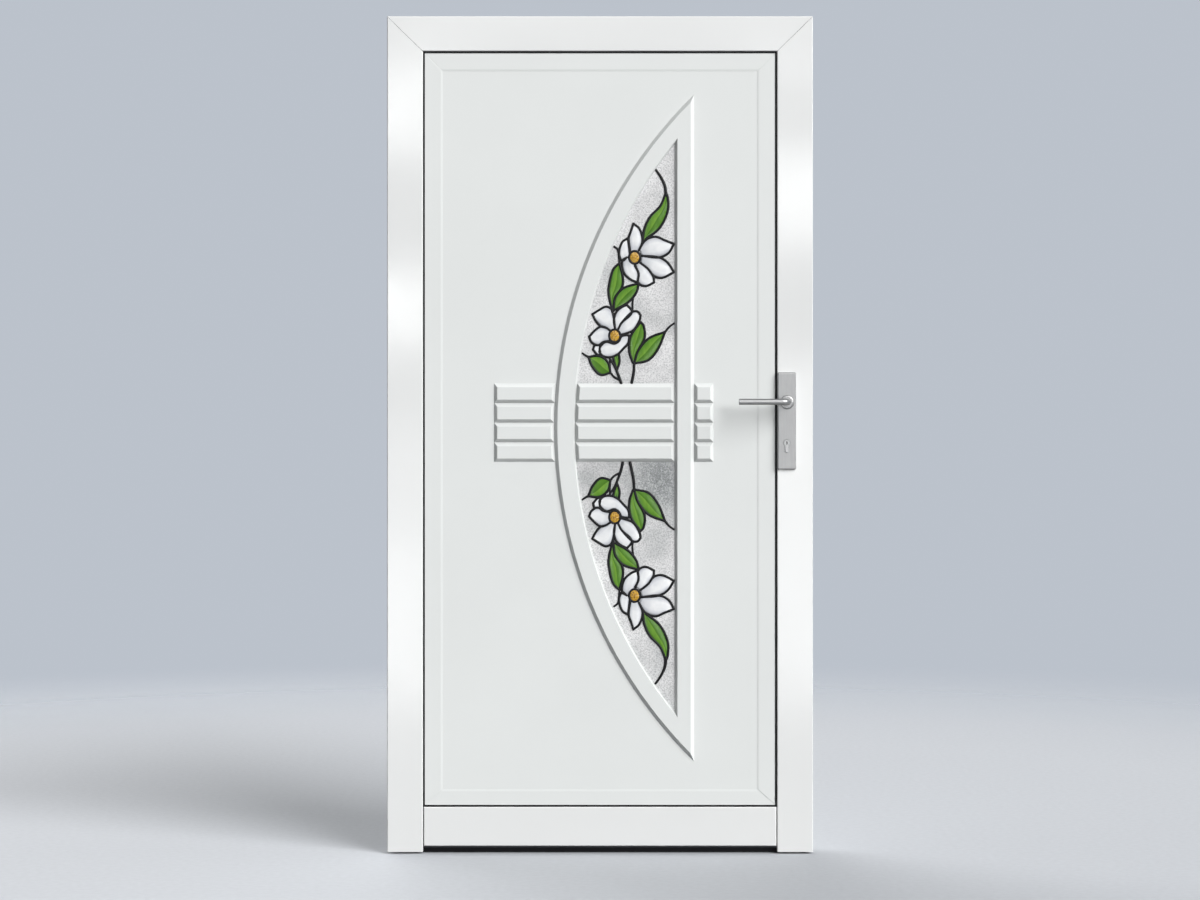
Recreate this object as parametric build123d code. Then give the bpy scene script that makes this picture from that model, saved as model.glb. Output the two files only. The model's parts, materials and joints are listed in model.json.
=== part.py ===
"""Front door: a panelled leaf with a bow-shaped window, hung in a slim frame hidden behind the leaf.

Millimetres, +Z up, the outer face looks along -Y, +X to the right seen from outside.
The origin is on the underside of the threshold, midway between the jambs.
"""
import os

from build123d import *

# Overall leaf
LEAF_WIDTH = 1070.0
LEAF_TOP = 2105.0
LEAF_THICKNESS = 75.0
FLOOR_GAP = 5.0

# Leaf profiles: a wide face lip with a narrower body behind it
STILE_FACE = 90.0
TOP_RAIL_FACE = 88.0
LIP_THICKNESS = 22.0
LIP_OVERLAY = 23.0
PLINTH_BOTTOM = 20.0
PLINTH_FACE = 98.0
BODY_BOTTOM = 24.0
EDGE_ROUND = 2.5
MITRE_GAP = 1.2
BUTT_GAP = 2.0

# Panel in the leaf
GASKET_WIDTH = 4.8
GASKET_SET_BACK = 3.0
SKIN_SET_BACK = 5.0
SKIN_THICKNESS = 5.0
BORDER_WIDTH = 44.7
BORDER_FOOT = 38.7
BORDER_RELIEF = 0.9
BORDER_BEVEL = 4.8
BORDER_MITRE_BEVEL = 1.6
BORDER_LAND = 0.4
BORDER_GAP = 0.5

# Raised bow and ribs
RELIEF = 7.5
BEVEL_LAND = 0.5
BOW_BEVEL = 8.5
BOW_ARC_BEVEL = 3.6
STRING_BEVEL = 7.0
RIB_BEVEL = 8.0
RIB_HEAD_BEVEL = 10.0
BOW_HEAD_MARGIN = 108.5
BOW_FOOT_MARGIN = 114.0
BOW_LEFT = -115.5
BOW_RIGHT = 236.5
BOW_BAND = 52.5
STRING_BAND = 49.0
TIP_BAND = 125.0
RIB_COUNT = 4
RIB_HEAD_RISE = 112.0
RIB_PITCH = 49.3
RIB_LEFT = -266.0
RIB_RIGHT = 285.0
RIB_GAP = 0.3

# Glass
PANE_THICKNESS = 6.0
PANE_LAP = 10.0
PANE_CLEARANCE = 0.4

# Fixed frame
SWING_GAP = 5.5
BODY_GAP = 6.0
STOP_GAP = 9.0
FRAME_LEG = 10.0
STOP_LEG = 26.0
STOP_DEPTH = 40.0
THRESHOLD_HEIGHT = 12.0
STOP_SEAL_WIDTH = 8.0
STOP_SEAL_THICKNESS = 4.0
SEAL_INSET = 1.0
BOTTOM_SEAL_WIDTH = 10.0
BOTTOM_SEAL_CLEARANCE = 5.0
ANCHOR_RADIUS = 5.25
ANCHOR_END = 250.0
ANCHOR_SPREAD = 300.0
THRESHOLD_SCREW_RADIUS = 3.25
THRESHOLD_SCREW_REACH = 300.0

# Lift-off hinges
HINGE_END = 300.0
HINGE_HALF_HEIGHT = 50.0
KNUCKLE_RADIUS = 8.0
KNUCKLE_TO_LIP = 2.0
KNUCKLE_TO_EDGE = 1.0
KNUCKLE_SPLIT = 0.5
PIN_RADIUS = 4.0
PIN_CLEARANCE = 0.05
HINGE_PLATE = 3.0
HINGE_PLATE_WIDTH = 20.0
HINGE_POCKET_END = 6.0

# Handle set and lock
HANDLE_INSET = 43.0
LEVER_LEVEL = 1134.5
LEVER_END = 345.5
LEVER_RADIUS = 7.75
LEVER_STAND_OFF = 52.0
LEVER_BEND = 16.0
LEVER_END_ROUND = 1.0
BACKPLATE_WIDTH = 46.5
BACKPLATE_ABOVE_LEVER = 75.5
BACKPLATE_BELOW_CYLINDER = 66.5
BACKPLATE_THICKNESS = 8.0
BACKPLATE_CORNER = 3.0
BACKPLATE_ROUND = 3.0
COLLAR_RADIUS = 17.5
COLLAR_HEIGHT = 5.0
COLLAR_ROUND = 4.0
SPINDLE_SIDE = 8.0
SPINDLE_HOLE_RADIUS = 10.0
LEVER_TO_CYLINDER = 102.0
CYLINDER_RADIUS = 8.5
CYLINDER_WEB = 10.0
CYLINDER_HEIGHT = 33.0
CYLINDER_PROUD = 3.0
CYLINDER_CHAMFER = 0.8
CYLINDER_CLEARANCE = 0.3
PLUG_RADIUS = 6.2
KEYWAY_WIDTH = 3.0
KEYWAY_HEIGHT = 9.0
KEYWAY_DEPTH = 6.0
FACEPLATE_WIDTH = 22.0
FACEPLATE_HALF_HEIGHT = 130.0
FACEPLATE_THICKNESS = 3.0
STRIKE_THICKNESS = 2.0
BOLT_WIDTH = 12.0
BOLT_HEIGHT = 32.0

# Levels through the leaf, from the outer face to the inner face
Y_FRONT = -LEAF_THICKNESS
Y_BACK = 0.0
Y_MIDDLE = (Y_FRONT + Y_BACK) / 2
Y_LIP = Y_FRONT + LIP_THICKNESS
Y_SKIN = Y_FRONT + SKIN_SET_BACK
Y_CORE = Y_SKIN + SKIN_THICKNESS
Y_CORE_BACK = 2 * Y_MIDDLE - Y_CORE
Y_FRAME = Y_LIP + SWING_GAP
Y_STOP = Y_BACK + STOP_GAP
Y_FRAME_BACK = Y_STOP + STOP_DEPTH
Y_ANCHOR = Y_STOP + STOP_DEPTH / 2
Y_PLATE = Y_FRONT - BACKPLATE_THICKNESS
BEVEL_DROP = RELIEF - BEVEL_LAND

# Outlines seen from the front
LEAF_EDGE = LEAF_WIDTH / 2
BODY_EDGE = LEAF_EDGE - LIP_OVERLAY
BODY_TOP = LEAF_TOP - LIP_OVERLAY
PANEL_EDGE = LEAF_EDGE - STILE_FACE
PANEL_TOP = LEAF_TOP - TOP_RAIL_FACE
PANEL_FOOT = PLINTH_BOTTOM + PLINTH_FACE
SKIN_EDGE = PANEL_EDGE - GASKET_WIDTH
SKIN_TOP = PANEL_TOP - GASKET_WIDTH
SKIN_FOOT = PANEL_FOOT + GASKET_WIDTH
FRAME_INNER = BODY_EDGE + BODY_GAP
FRAME_OUTER = FRAME_INNER + FRAME_LEG
STOP_INNER = FRAME_OUTER - STOP_LEG
HEAD_INNER = BODY_TOP + BODY_GAP
HEAD_OUTER = HEAD_INNER + FRAME_LEG
HEAD_STOP = HEAD_OUTER - STOP_LEG

# The bow and the ribs
BOW_TOP = PANEL_TOP - BOW_HEAD_MARGIN
BOW_FOOT = PANEL_FOOT + BOW_FOOT_MARGIN
STRING_INNER = BOW_RIGHT - STRING_BAND
RIB_TOP = (BOW_TOP + BOW_FOOT) / 2 + RIB_HEAD_RISE
RIB_FOOT = RIB_TOP - RIB_COUNT * RIB_PITCH

# Levels of the hinges and of the wall anchors
MIDDLE_LEVEL = LEAF_TOP / 2
HINGE_LEVELS = {"lower": HINGE_END, "middle": MIDDLE_LEVEL, "upper": LEAF_TOP - HINGE_END}
ANCHOR_LEVELS = (
    ANCHOR_END,
    MIDDLE_LEVEL - ANCHOR_SPREAD,
    MIDDLE_LEVEL + ANCHOR_SPREAD,
    LEAF_TOP - ANCHOR_END,
)

# Hinge axis, behind the left edge of the lip
HINGE_X = -LEAF_EDGE + KNUCKLE_RADIUS + KNUCKLE_TO_EDGE
HINGE_Y = Y_LIP + KNUCKLE_TO_LIP + KNUCKLE_RADIUS
Y_POCKET = HINGE_Y + KNUCKLE_RADIUS + HINGE_PLATE

# Handle column
HANDLE_X = BODY_EDGE - HANDLE_INSET
CYLINDER_LEVEL = LEVER_LEVEL - LEVER_TO_CYLINDER
BACKPLATE_TOP = LEVER_LEVEL + BACKPLATE_ABOVE_LEVER
BACKPLATE_FOOT = CYLINDER_LEVEL - BACKPLATE_BELOW_CYLINDER
LOCK_LEVEL = (LEVER_LEVEL + CYLINDER_LEVEL) / 2
FACEPLATE_Y = Y_MIDDLE + LIP_THICKNESS / 2
PLUG_BORE_RADIUS = PLUG_RADIUS + PIN_CLEARANCE


def block(x0, x1, y0, y1, z0, z1):
    """A box between two opposite corners."""
    centre = Pos((x0 + x1) / 2, (y0 + y1) / 2, (z0 + z1) / 2)
    return centre * Box(x1 - x0, y1 - y0, z1 - z0)


def slab(outline, y_front, y_back):
    """An outline drawn in X and Z, made solid between two depths."""
    return extrude(Plane.XZ.offset(-y_back) * outline, amount=y_back - y_front)


def rectangle(x0, x1, z0, z1):
    """A rectangle in X and Z between two opposite corners."""
    return Pos((x0 + x1) / 2, (z0 + z1) / 2) * Rectangle(x1 - x0, z1 - z0)


def bore(x, z, radius, y_front, y_back):
    """A round bar or cutter along Y."""
    return slab(Pos(x, z) * Circle(radius), y_front, y_back)


def upright(x, y, radius, low, high):
    """A round bar or cutter along Z."""
    return Pos(x, y, (low + high) / 2) * Cylinder(radius, high - low)


def inside_copy(outer):
    """The like piece on the inner face of the leaf."""
    return mirror(outer, about=Plane.XZ.offset(-Y_MIDDLE))


def raise_up(outline, height):
    """A flat piece standing out of the skin towards the front, and its front face."""
    raised = slab(outline, Y_SKIN - height, Y_SKIN)
    return raised, raised.faces().sort_by(Axis.Y)[0]


def bevel_edges(edges, front, run, drop):
    """Slope the piece down along edges of its front face: run across the face, drop towards the skin."""
    return chamfer(edges, run, drop, reference=front)


def profile_bar(lip, body, along):
    """A leaf profile: the lip and the body behind it, with the lip's long front edges rounded."""
    bar = lip + body
    front = bar.edges().filter_by(along).group_by(Axis.Y)[0]
    return fillet(front, EDGE_ROUND)


def left_stile():
    """The upright on the hinge side, mitred to the top rail."""
    lip = block(-LEAF_EDGE, -PANEL_EDGE, Y_FRONT, Y_LIP, FLOOR_GAP, LEAF_TOP)
    body = block(-BODY_EDGE, -PANEL_EDGE, Y_LIP, Y_BACK, BODY_BOTTOM, LEAF_TOP)
    bar = profile_bar(lip, body, Axis.Z)
    outline = Polygon(
        (-LEAF_EDGE, 0),
        (-PANEL_EDGE, 0),
        (-PANEL_EDGE, PANEL_TOP - MITRE_GAP),
        (-LEAF_EDGE, LEAF_TOP - MITRE_GAP),
        align=None,
    )
    body_head = block(-LEAF_EDGE, 0, Y_LIP, Y_BACK, BODY_TOP, LEAF_TOP)
    return (bar & slab(outline, Y_FRONT, Y_BACK)) - body_head


def right_stile():
    """The upright on the lock side, bored for the spindle, the cylinder and the lock faceplate."""
    stile = mirror(left_stile(), about=Plane.YZ)
    stile -= bore(HANDLE_X, LEVER_LEVEL, SPINDLE_HOLE_RADIUS, Y_FRONT, Y_BACK)
    stile -= slab(cylinder_outline(CYLINDER_CLEARANCE), Y_FRONT, Y_BACK)
    return stile - faceplate_blank()


def top_rail():
    """The head of the leaf, mitred at both ends."""
    lip = block(-LEAF_EDGE, LEAF_EDGE, Y_FRONT, Y_LIP, PANEL_TOP, LEAF_TOP)
    body = block(-BODY_EDGE, BODY_EDGE, Y_LIP, Y_BACK, PANEL_TOP, BODY_TOP)
    outline = Polygon(
        (-LEAF_EDGE, LEAF_TOP),
        (-PANEL_EDGE, PANEL_TOP),
        (PANEL_EDGE, PANEL_TOP),
        (LEAF_EDGE, LEAF_TOP),
        align=None,
    )
    return profile_bar(lip, body, Axis.X) & slab(outline, Y_FRONT, Y_BACK)


def bottom_rail():
    """The plinth of the leaf, butted between the stiles, with a fine gap beside its face."""
    end = PANEL_EDGE - BUTT_GAP
    lip = block(-end, end, Y_FRONT, Y_LIP, PLINTH_BOTTOM, PANEL_FOOT)
    lip = fillet(lip.faces().sort_by(Axis.Y)[0].edges(), EDGE_ROUND)
    return lip + block(-PANEL_EDGE, PANEL_EDGE, Y_LIP, Y_BACK, BODY_BOTTOM, PANEL_FOOT)


def bottom_seal():
    """The dark sealing strip under the leaf."""
    foot = THRESHOLD_HEIGHT + BOTTOM_SEAL_CLEARANCE
    y_front = Y_MIDDLE - BOTTOM_SEAL_WIDTH / 2
    return block(-BODY_EDGE, BODY_EDGE, y_front, y_front + BOTTOM_SEAL_WIDTH, foot, BODY_BOTTOM)


def d_shape(left, right, foot, top, grow):
    """An arc through both tips and the leftmost point, closed by a straight string, then grown all round."""
    half_chord = (top - foot) / 2
    sagitta = right - left
    radius = (half_chord**2 + sagitta**2) / (2 * sagitta)
    disc = Pos(left + radius, (top + foot) / 2) * Circle(radius + grow)
    return disc & rectangle(left - sagitta, right + grow, foot - sagitta, top + sagitta)


def bow_outside(grow=0.0):
    """The D shape round the bow's band."""
    return d_shape(BOW_LEFT, BOW_RIGHT, BOW_FOOT, BOW_TOP, grow)


def bow_inside(grow=0.0):
    """The D shape inside the bow's band."""
    return d_shape(BOW_LEFT + BOW_BAND, STRING_INNER, BOW_FOOT + TIP_BAND, BOW_TOP - TIP_BAND, grow)


def glass_outline(upper):
    """The visible opening of one window, above or below the ribs."""
    if upper:
        half = rectangle(BOW_LEFT, BOW_RIGHT, RIB_TOP, BOW_TOP)
    else:
        half = rectangle(BOW_LEFT, BOW_RIGHT, BOW_FOOT, RIB_FOOT)
    return bow_inside() & half


def glass_seat(upper, lap):
    """The outline of a window opening grown by the lap of its pane."""
    return offset(glass_outline(upper), lap, kind=Kind.INTERSECTION)


def panel_core():
    """The insulating core, with the two window openings cut through it."""
    core = block(-PANEL_EDGE, PANEL_EDGE, Y_CORE, Y_CORE_BACK, PANEL_FOOT, PANEL_TOP)
    for upper in (True, False):
        core -= slab(glass_seat(upper, PANE_LAP), Y_CORE, Y_CORE_BACK)
    return core


def panel_skin():
    """The outer sheet of the panel, open where the panes sit."""
    outline = rectangle(-SKIN_EDGE, SKIN_EDGE, SKIN_FOOT, SKIN_TOP)
    for upper in (True, False):
        outline -= glass_seat(upper, PANE_LAP)
    return slab(outline, Y_SKIN, Y_CORE)


def border_strip(outline, along):
    """One moulding of the border, sloped along its inner edge."""
    strip, front = raise_up(outline, BORDER_RELIEF)
    panel_middle = (0, Y_SKIN, (SKIN_FOOT + SKIN_TOP) / 2)
    inner_edge = front.edges().filter_by(along).sort_by_distance(panel_middle)[0]
    return bevel_edges(inner_edge, front, BORDER_BEVEL, BORDER_RELIEF - BORDER_LAND)


def ease_mitres(strip):
    """An upright moulding with its two mitred ends eased, so that the corner joints show."""
    front = strip.faces().sort_by(Axis.Y)[0]
    mitres = front.edges().filter_by(Axis.Z, reverse=True)
    return bevel_edges(mitres, front, BORDER_MITRE_BEVEL, BORDER_LAND)


def panel_border():
    """Four flat mouldings round the edge of the skin, mitred at the corners."""
    x_in = SKIN_EDGE - BORDER_WIDTH
    z_low = SKIN_FOOT + BORDER_FOOT
    z_high = SKIN_TOP - BORDER_WIDTH
    left = Polygon(
        (-SKIN_EDGE, SKIN_FOOT + BORDER_GAP),
        (-x_in, z_low + BORDER_GAP),
        (-x_in, z_high - BORDER_GAP),
        (-SKIN_EDGE, SKIN_TOP - BORDER_GAP),
        align=None,
    )
    top = Polygon((-SKIN_EDGE, SKIN_TOP), (-x_in, z_high), (x_in, z_high), (SKIN_EDGE, SKIN_TOP), align=None)
    foot = Polygon((-SKIN_EDGE, SKIN_FOOT), (SKIN_EDGE, SKIN_FOOT), (x_in, z_low), (-x_in, z_low), align=None)
    upright_strip = ease_mitres(border_strip(left, Axis.Z))
    return Compound([
        upright_strip,
        mirror(upright_strip, about=Plane.YZ),
        border_strip(top, Axis.X),
        border_strip(foot, Axis.X),
    ])


def panel_gasket():
    """The dark glazing seal round the panel."""
    ring = rectangle(-PANEL_EDGE, PANEL_EDGE, PANEL_FOOT, PANEL_TOP)
    ring -= rectangle(-SKIN_EDGE, SKIN_EDGE, SKIN_FOOT, SKIN_TOP)
    return slab(ring, Y_FRONT + GASKET_SET_BACK, Y_CORE)


def bow_frame():
    """The raised bow that frames both windows."""
    band, front = raise_up(bow_outside() - bow_inside(), RELIEF)
    band = bevel_edges(front.outer_wire().edges(), front, BOW_BEVEL, BEVEL_DROP)
    front = band.faces().sort_by(Axis.Y)[0]
    arc = front.inner_wires()[0].edges().filter_by(GeomType.CIRCLE)
    band = bevel_edges(arc, front, BOW_ARC_BEVEL, BEVEL_DROP)
    front = band.faces().sort_by(Axis.Y)[0]
    string = front.inner_wires()[0].edges().filter_by(GeomType.LINE)
    return bevel_edges(string, front, STRING_BEVEL, BEVEL_DROP)


def rib(outline):
    """One rib, with a wide slope along its head and narrower ones along its other edges."""
    raised, front = raise_up(outline, RELIEF)
    raised = bevel_edges(front.edges().sort_by(Axis.Z)[-1], front, RIB_HEAD_BEVEL, BEVEL_DROP)
    front = raised.faces().sort_by(Axis.Y)[0]
    return bevel_edges(front.edges().sort_by(Axis.Z)[:-1], front, RIB_BEVEL, BEVEL_DROP)


def rib_row(region):
    """One group of ribs: the part of each row that lies in the region."""
    ribs = []
    for row in range(RIB_COUNT):
        z_high = RIB_TOP - row * RIB_PITCH
        strip = rectangle(RIB_LEFT, RIB_RIGHT, z_high - RIB_PITCH + RIB_GAP, z_high)
        ribs.append(rib(strip & region))
    return Compound(ribs)


def rib_regions():
    """Where ribs lie: left of the bow, inside it, and right of its string."""
    beside = rectangle(RIB_LEFT, STRING_INNER, RIB_FOOT, RIB_TOP)
    return {
        "left": beside - bow_outside(RIB_GAP),
        "middle": beside & bow_inside(-RIB_GAP),
        "right": rectangle(BOW_RIGHT + RIB_GAP, RIB_RIGHT, RIB_FOOT, RIB_TOP),
    }


def pane(upper):
    """One sheet of glass in the skin's opening, held by the bow and the ribs that lap its edge."""
    return slab(glass_seat(upper, PANE_LAP - PANE_CLEARANCE), Y_SKIN, Y_SKIN + PANE_THICKNESS)


def plain_jamb():
    """The right jamb: a thin leg beside the leaf, a stop behind it, and the wall anchor holes."""
    jamb = block(FRAME_INNER, FRAME_OUTER, Y_FRAME, Y_STOP, 0, HEAD_OUTER)
    jamb += block(STOP_INNER, FRAME_OUTER, Y_STOP, Y_FRAME_BACK, 0, HEAD_OUTER)
    for level in ANCHOR_LEVELS:
        middle = Pos((STOP_INNER + FRAME_OUTER) / 2, Y_ANCHOR, level)
        jamb -= middle * Rot(0, 90, 0) * Cylinder(ANCHOR_RADIUS, STOP_LEG)
    return jamb


def hinge_jamb():
    """The left jamb, notched where the hinges sit."""
    jamb = mirror(plain_jamb(), about=Plane.YZ)
    reach = HINGE_HALF_HEIGHT + HINGE_POCKET_END
    for level in HINGE_LEVELS.values():
        jamb -= block(-FRAME_OUTER, -FRAME_INNER, Y_FRAME, Y_POCKET, level - reach, level + reach)
    return jamb


def frame_head():
    """The head of the fixed frame, between the jambs."""
    leg = block(-FRAME_INNER, FRAME_INNER, Y_FRAME, Y_STOP, HEAD_INNER, HEAD_OUTER)
    return leg + block(-STOP_INNER, STOP_INNER, Y_STOP, Y_FRAME_BACK, HEAD_STOP, HEAD_OUTER)


def threshold():
    """The low sill between the jambs, with two floor screw holes."""
    sill = block(-FRAME_INNER, FRAME_INNER, Y_FRAME, Y_STOP, 0, THRESHOLD_HEIGHT)
    sill += block(-STOP_INNER, STOP_INNER, Y_STOP, Y_FRAME_BACK, 0, THRESHOLD_HEIGHT)
    for x in (-THRESHOLD_SCREW_REACH, THRESHOLD_SCREW_REACH):
        sill -= upright(x, Y_ANCHOR, THRESHOLD_SCREW_RADIUS, 0, THRESHOLD_HEIGHT)
    return sill


def stop_seal():
    """The dark seal on the stop, round three sides of the doorway."""
    near = STOP_INNER + SEAL_INSET
    low = HEAD_STOP + SEAL_INSET
    ring = rectangle(-near - STOP_SEAL_WIDTH, near + STOP_SEAL_WIDTH, THRESHOLD_HEIGHT, low + STOP_SEAL_WIDTH)
    ring -= rectangle(-near, near, THRESHOLD_HEIGHT, low)
    return slab(ring, Y_STOP - STOP_SEAL_THICKNESS, Y_STOP)


def hinge_frame_half(level):
    """The lower half of a hinge: its plate in the jamb notch, its knuckle and the pin."""
    low = level - HINGE_HALF_HEIGHT
    split = level - KNUCKLE_SPLIT / 2
    knuckle = upright(HINGE_X, HINGE_Y, KNUCKLE_RADIUS, low, split)
    plate = block(-FRAME_OUTER, -FRAME_INNER, Y_POCKET - HINGE_PLATE, Y_POCKET, low, split)
    web = block(-FRAME_OUTER, HINGE_X + PIN_RADIUS, HINGE_Y, Y_POCKET, low, split)
    pin = upright(HINGE_X, HINGE_Y, PIN_RADIUS, split, level + HINGE_HALF_HEIGHT)
    return knuckle + plate + web + pin


def hinge_leaf_half(level):
    """The upper half of a hinge: its plate on the back of the lip and its bored knuckle."""
    low = level + KNUCKLE_SPLIT / 2
    high = level + HINGE_HALF_HEIGHT
    edge = HINGE_X - KNUCKLE_RADIUS
    plate = block(edge, edge + HINGE_PLATE_WIDTH, Y_LIP, Y_LIP + HINGE_PLATE, low, high)
    half = plate + upright(HINGE_X, HINGE_Y, KNUCKLE_RADIUS, low, high)
    return half - upright(HINGE_X, HINGE_Y, PIN_RADIUS + PIN_CLEARANCE, low, high)


def cylinder_outline(clearance):
    """The keyhole-shaped section of the lock cylinder, grown by a clearance."""
    foot = CYLINDER_LEVEL + CYLINDER_RADIUS - CYLINDER_HEIGHT - clearance
    half_web = CYLINDER_WEB / 2 + clearance
    web = rectangle(HANDLE_X - half_web, HANDLE_X + half_web, foot + half_web, CYLINDER_LEVEL)
    toe = Pos(HANDLE_X, foot + half_web) * Circle(half_web)
    return Pos(HANDLE_X, CYLINDER_LEVEL) * Circle(CYLINDER_RADIUS + clearance) + web + toe


def backplate():
    """The long plate under the outer lever, with its collar."""
    height = BACKPLATE_TOP - BACKPLATE_FOOT
    centre = (BACKPLATE_TOP + BACKPLATE_FOOT) / 2
    outline = Pos(HANDLE_X, centre) * RectangleRounded(BACKPLATE_WIDTH, height, BACKPLATE_CORNER)
    plate = slab(outline, Y_PLATE, Y_FRONT)
    plate = fillet(plate.faces().sort_by(Axis.Y)[0].edges(), BACKPLATE_ROUND)
    collar = bore(HANDLE_X, LEVER_LEVEL, COLLAR_RADIUS, Y_PLATE - COLLAR_HEIGHT, Y_PLATE)
    collar = fillet(collar.faces().sort_by(Axis.Y)[0].edges(), COLLAR_ROUND)
    neck_hole = bore(HANDLE_X, LEVER_LEVEL, LEVER_RADIUS + PIN_CLEARANCE, Y_PLATE - COLLAR_HEIGHT, Y_FRONT)
    return plate + collar - neck_hole - slab(cylinder_outline(CYLINDER_CLEARANCE), Y_PLATE, Y_FRONT)


def lever():
    """The outer lever: a round bar out of the plate, bent towards the hinge side."""
    y_bar = Y_PLATE - LEVER_STAND_OFF
    path = FilletPolyline(
        (HANDLE_X, Y_FRONT, LEVER_LEVEL),
        (HANDLE_X, y_bar, LEVER_LEVEL),
        (LEVER_END, y_bar, LEVER_LEVEL),
        radius=LEVER_BEND,
    )
    section = Plane(origin=path @ 0, z_dir=path % 0) * Circle(LEVER_RADIUS)
    bar = sweep(section, path=path)
    return fillet(bar.faces().sort_by(Axis.X)[0].edges(), LEVER_END_ROUND)


def spindle():
    """The square bar that joins the two levers through the leaf."""
    half = SPINDLE_SIDE / 2
    square = rectangle(HANDLE_X - half, HANDLE_X + half, LEVER_LEVEL - half, LEVER_LEVEL + half)
    return slab(square, Y_FRONT, Y_BACK)


def lock_cylinder():
    """The lock cylinder through the leaf and both plates, bored for its plug."""
    reach = BACKPLATE_THICKNESS + CYLINDER_PROUD
    barrel = slab(cylinder_outline(0), Y_FRONT - reach, Y_BACK + reach)
    ends = barrel.faces().filter_by(Axis.Y).edges()
    barrel = chamfer(ends, CYLINDER_CHAMFER)
    return barrel - bore(HANDLE_X, CYLINDER_LEVEL, PLUG_BORE_RADIUS, Y_FRONT - reach, Y_BACK + reach)


def key_plug():
    """The turning plug of the cylinder, with a keyway in each end."""
    reach = BACKPLATE_THICKNESS + CYLINDER_PROUD
    y_out = Y_FRONT - reach
    y_in = Y_BACK + reach
    plug = bore(HANDLE_X, CYLINDER_LEVEL, PLUG_RADIUS, y_out, y_in)
    keyway = Pos(HANDLE_X, CYLINDER_LEVEL) * Rectangle(KEYWAY_WIDTH, KEYWAY_HEIGHT)
    plug -= slab(keyway, y_out, y_out + KEYWAY_DEPTH)
    return plug - slab(keyway, y_in - KEYWAY_DEPTH, y_in)


def edge_plate(x0, x1):
    """A tall plate across the edge of the leaf or of the jamb, at the lock's level."""
    half = FACEPLATE_WIDTH / 2
    tall = FACEPLATE_HALF_HEIGHT
    return block(x0, x1, FACEPLATE_Y - half, FACEPLATE_Y + half, LOCK_LEVEL - tall, LOCK_LEVEL + tall)


def faceplate_blank():
    """The room that the lock faceplate takes in the edge of the lock stile."""
    return edge_plate(BODY_EDGE - FACEPLATE_THICKNESS, BODY_EDGE)


def strike_blank():
    """The room that the strike plate takes in the lock jamb."""
    return edge_plate(FRAME_INNER, FRAME_INNER + STRIKE_THICKNESS)


def bolt_hole(x0, x1, level):
    """The opening for one bolt in the strike plate."""
    half = BOLT_WIDTH / 2
    tall = BOLT_HEIGHT / 2
    return block(x0, x1, FACEPLATE_Y - half, FACEPLATE_Y + half, level - tall, level + tall)


def strike_plate():
    """The plate in the jamb that the lock's bolts enter."""
    plate = strike_blank()
    for level in (LEVER_LEVEL, CYLINDER_LEVEL):
        plate -= bolt_hole(FRAME_INNER, FRAME_INNER + STRIKE_THICKNESS, level)
    return plate


def lock_jamb():
    """The right jamb, recessed for the strike plate."""
    return plain_jamb() - strike_blank()


def all_pieces():
    """Every sub-part by name."""
    pieces = {
        "frame_hinge_jamb": hinge_jamb(),
        "frame_lock_jamb": lock_jamb(),
        "frame_head": frame_head(),
        "threshold": threshold(),
        "frame_stop_seal": stop_seal(),
        "strike_plate": strike_plate(),
        "leaf_hinge_stile": left_stile(),
        "leaf_lock_stile": right_stile(),
        "leaf_top_rail": top_rail(),
        "leaf_bottom_rail": bottom_rail(),
        "leaf_bottom_seal": bottom_seal(),
        "panel_core": panel_core(),
        "lock_faceplate": faceplate_blank(),
        "lock_cylinder": lock_cylinder(),
        "key_plug": key_plug(),
        "handle_spindle": spindle(),
    }
    for name, level in HINGE_LEVELS.items():
        pieces[f"hinge_{name}_frame_half"] = hinge_frame_half(level)
        pieces[f"hinge_{name}_leaf_half"] = hinge_leaf_half(level)
    two_sided = {
        "panel_skin": panel_skin(),
        "panel_border": panel_border(),
        "panel_gasket": panel_gasket(),
        "bow_frame": bow_frame(),
        "upper_pane": pane(True),
        "lower_pane": pane(False),
        "backplate": backplate(),
        "lever": lever(),
    }
    for group, region in rib_regions().items():
        two_sided[f"{group}_ribs"] = rib_row(region)
    for name, outer in two_sided.items():
        pieces[f"outer_{name}"] = outer
        pieces[f"inner_{name}"] = inside_copy(outer)
    return pieces


os.makedirs("parts", exist_ok=True)
for node, shape in all_pieces().items():
    export_step(shape, f"parts/{node}.step")
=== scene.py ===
"""Front door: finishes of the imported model, leaded glass on its panes, studio light and camera.

Metres, +Z up, the outer face looks along -Y. The drawing of the leaded glass is in millimetres.
"""
import json
import math

import bmesh
import bpy
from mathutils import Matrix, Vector
from mathutils.geometry import interpolate_bezier


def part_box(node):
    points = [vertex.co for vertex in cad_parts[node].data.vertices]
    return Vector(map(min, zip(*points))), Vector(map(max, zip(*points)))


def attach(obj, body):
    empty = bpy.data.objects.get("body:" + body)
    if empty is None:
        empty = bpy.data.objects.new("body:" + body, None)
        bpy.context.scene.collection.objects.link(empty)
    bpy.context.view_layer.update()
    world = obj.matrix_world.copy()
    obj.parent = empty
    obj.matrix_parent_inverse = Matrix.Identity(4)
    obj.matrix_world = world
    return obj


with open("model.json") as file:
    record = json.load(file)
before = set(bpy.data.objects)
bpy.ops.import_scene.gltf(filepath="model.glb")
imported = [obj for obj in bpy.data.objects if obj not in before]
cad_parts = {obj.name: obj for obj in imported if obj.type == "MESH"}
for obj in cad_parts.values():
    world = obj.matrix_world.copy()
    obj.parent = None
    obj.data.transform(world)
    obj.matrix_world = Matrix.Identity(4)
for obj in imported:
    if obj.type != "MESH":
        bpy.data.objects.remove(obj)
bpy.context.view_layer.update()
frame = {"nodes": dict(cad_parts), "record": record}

MM = 0.001
WHITE = (1.0, 1.0, 1.0)

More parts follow.
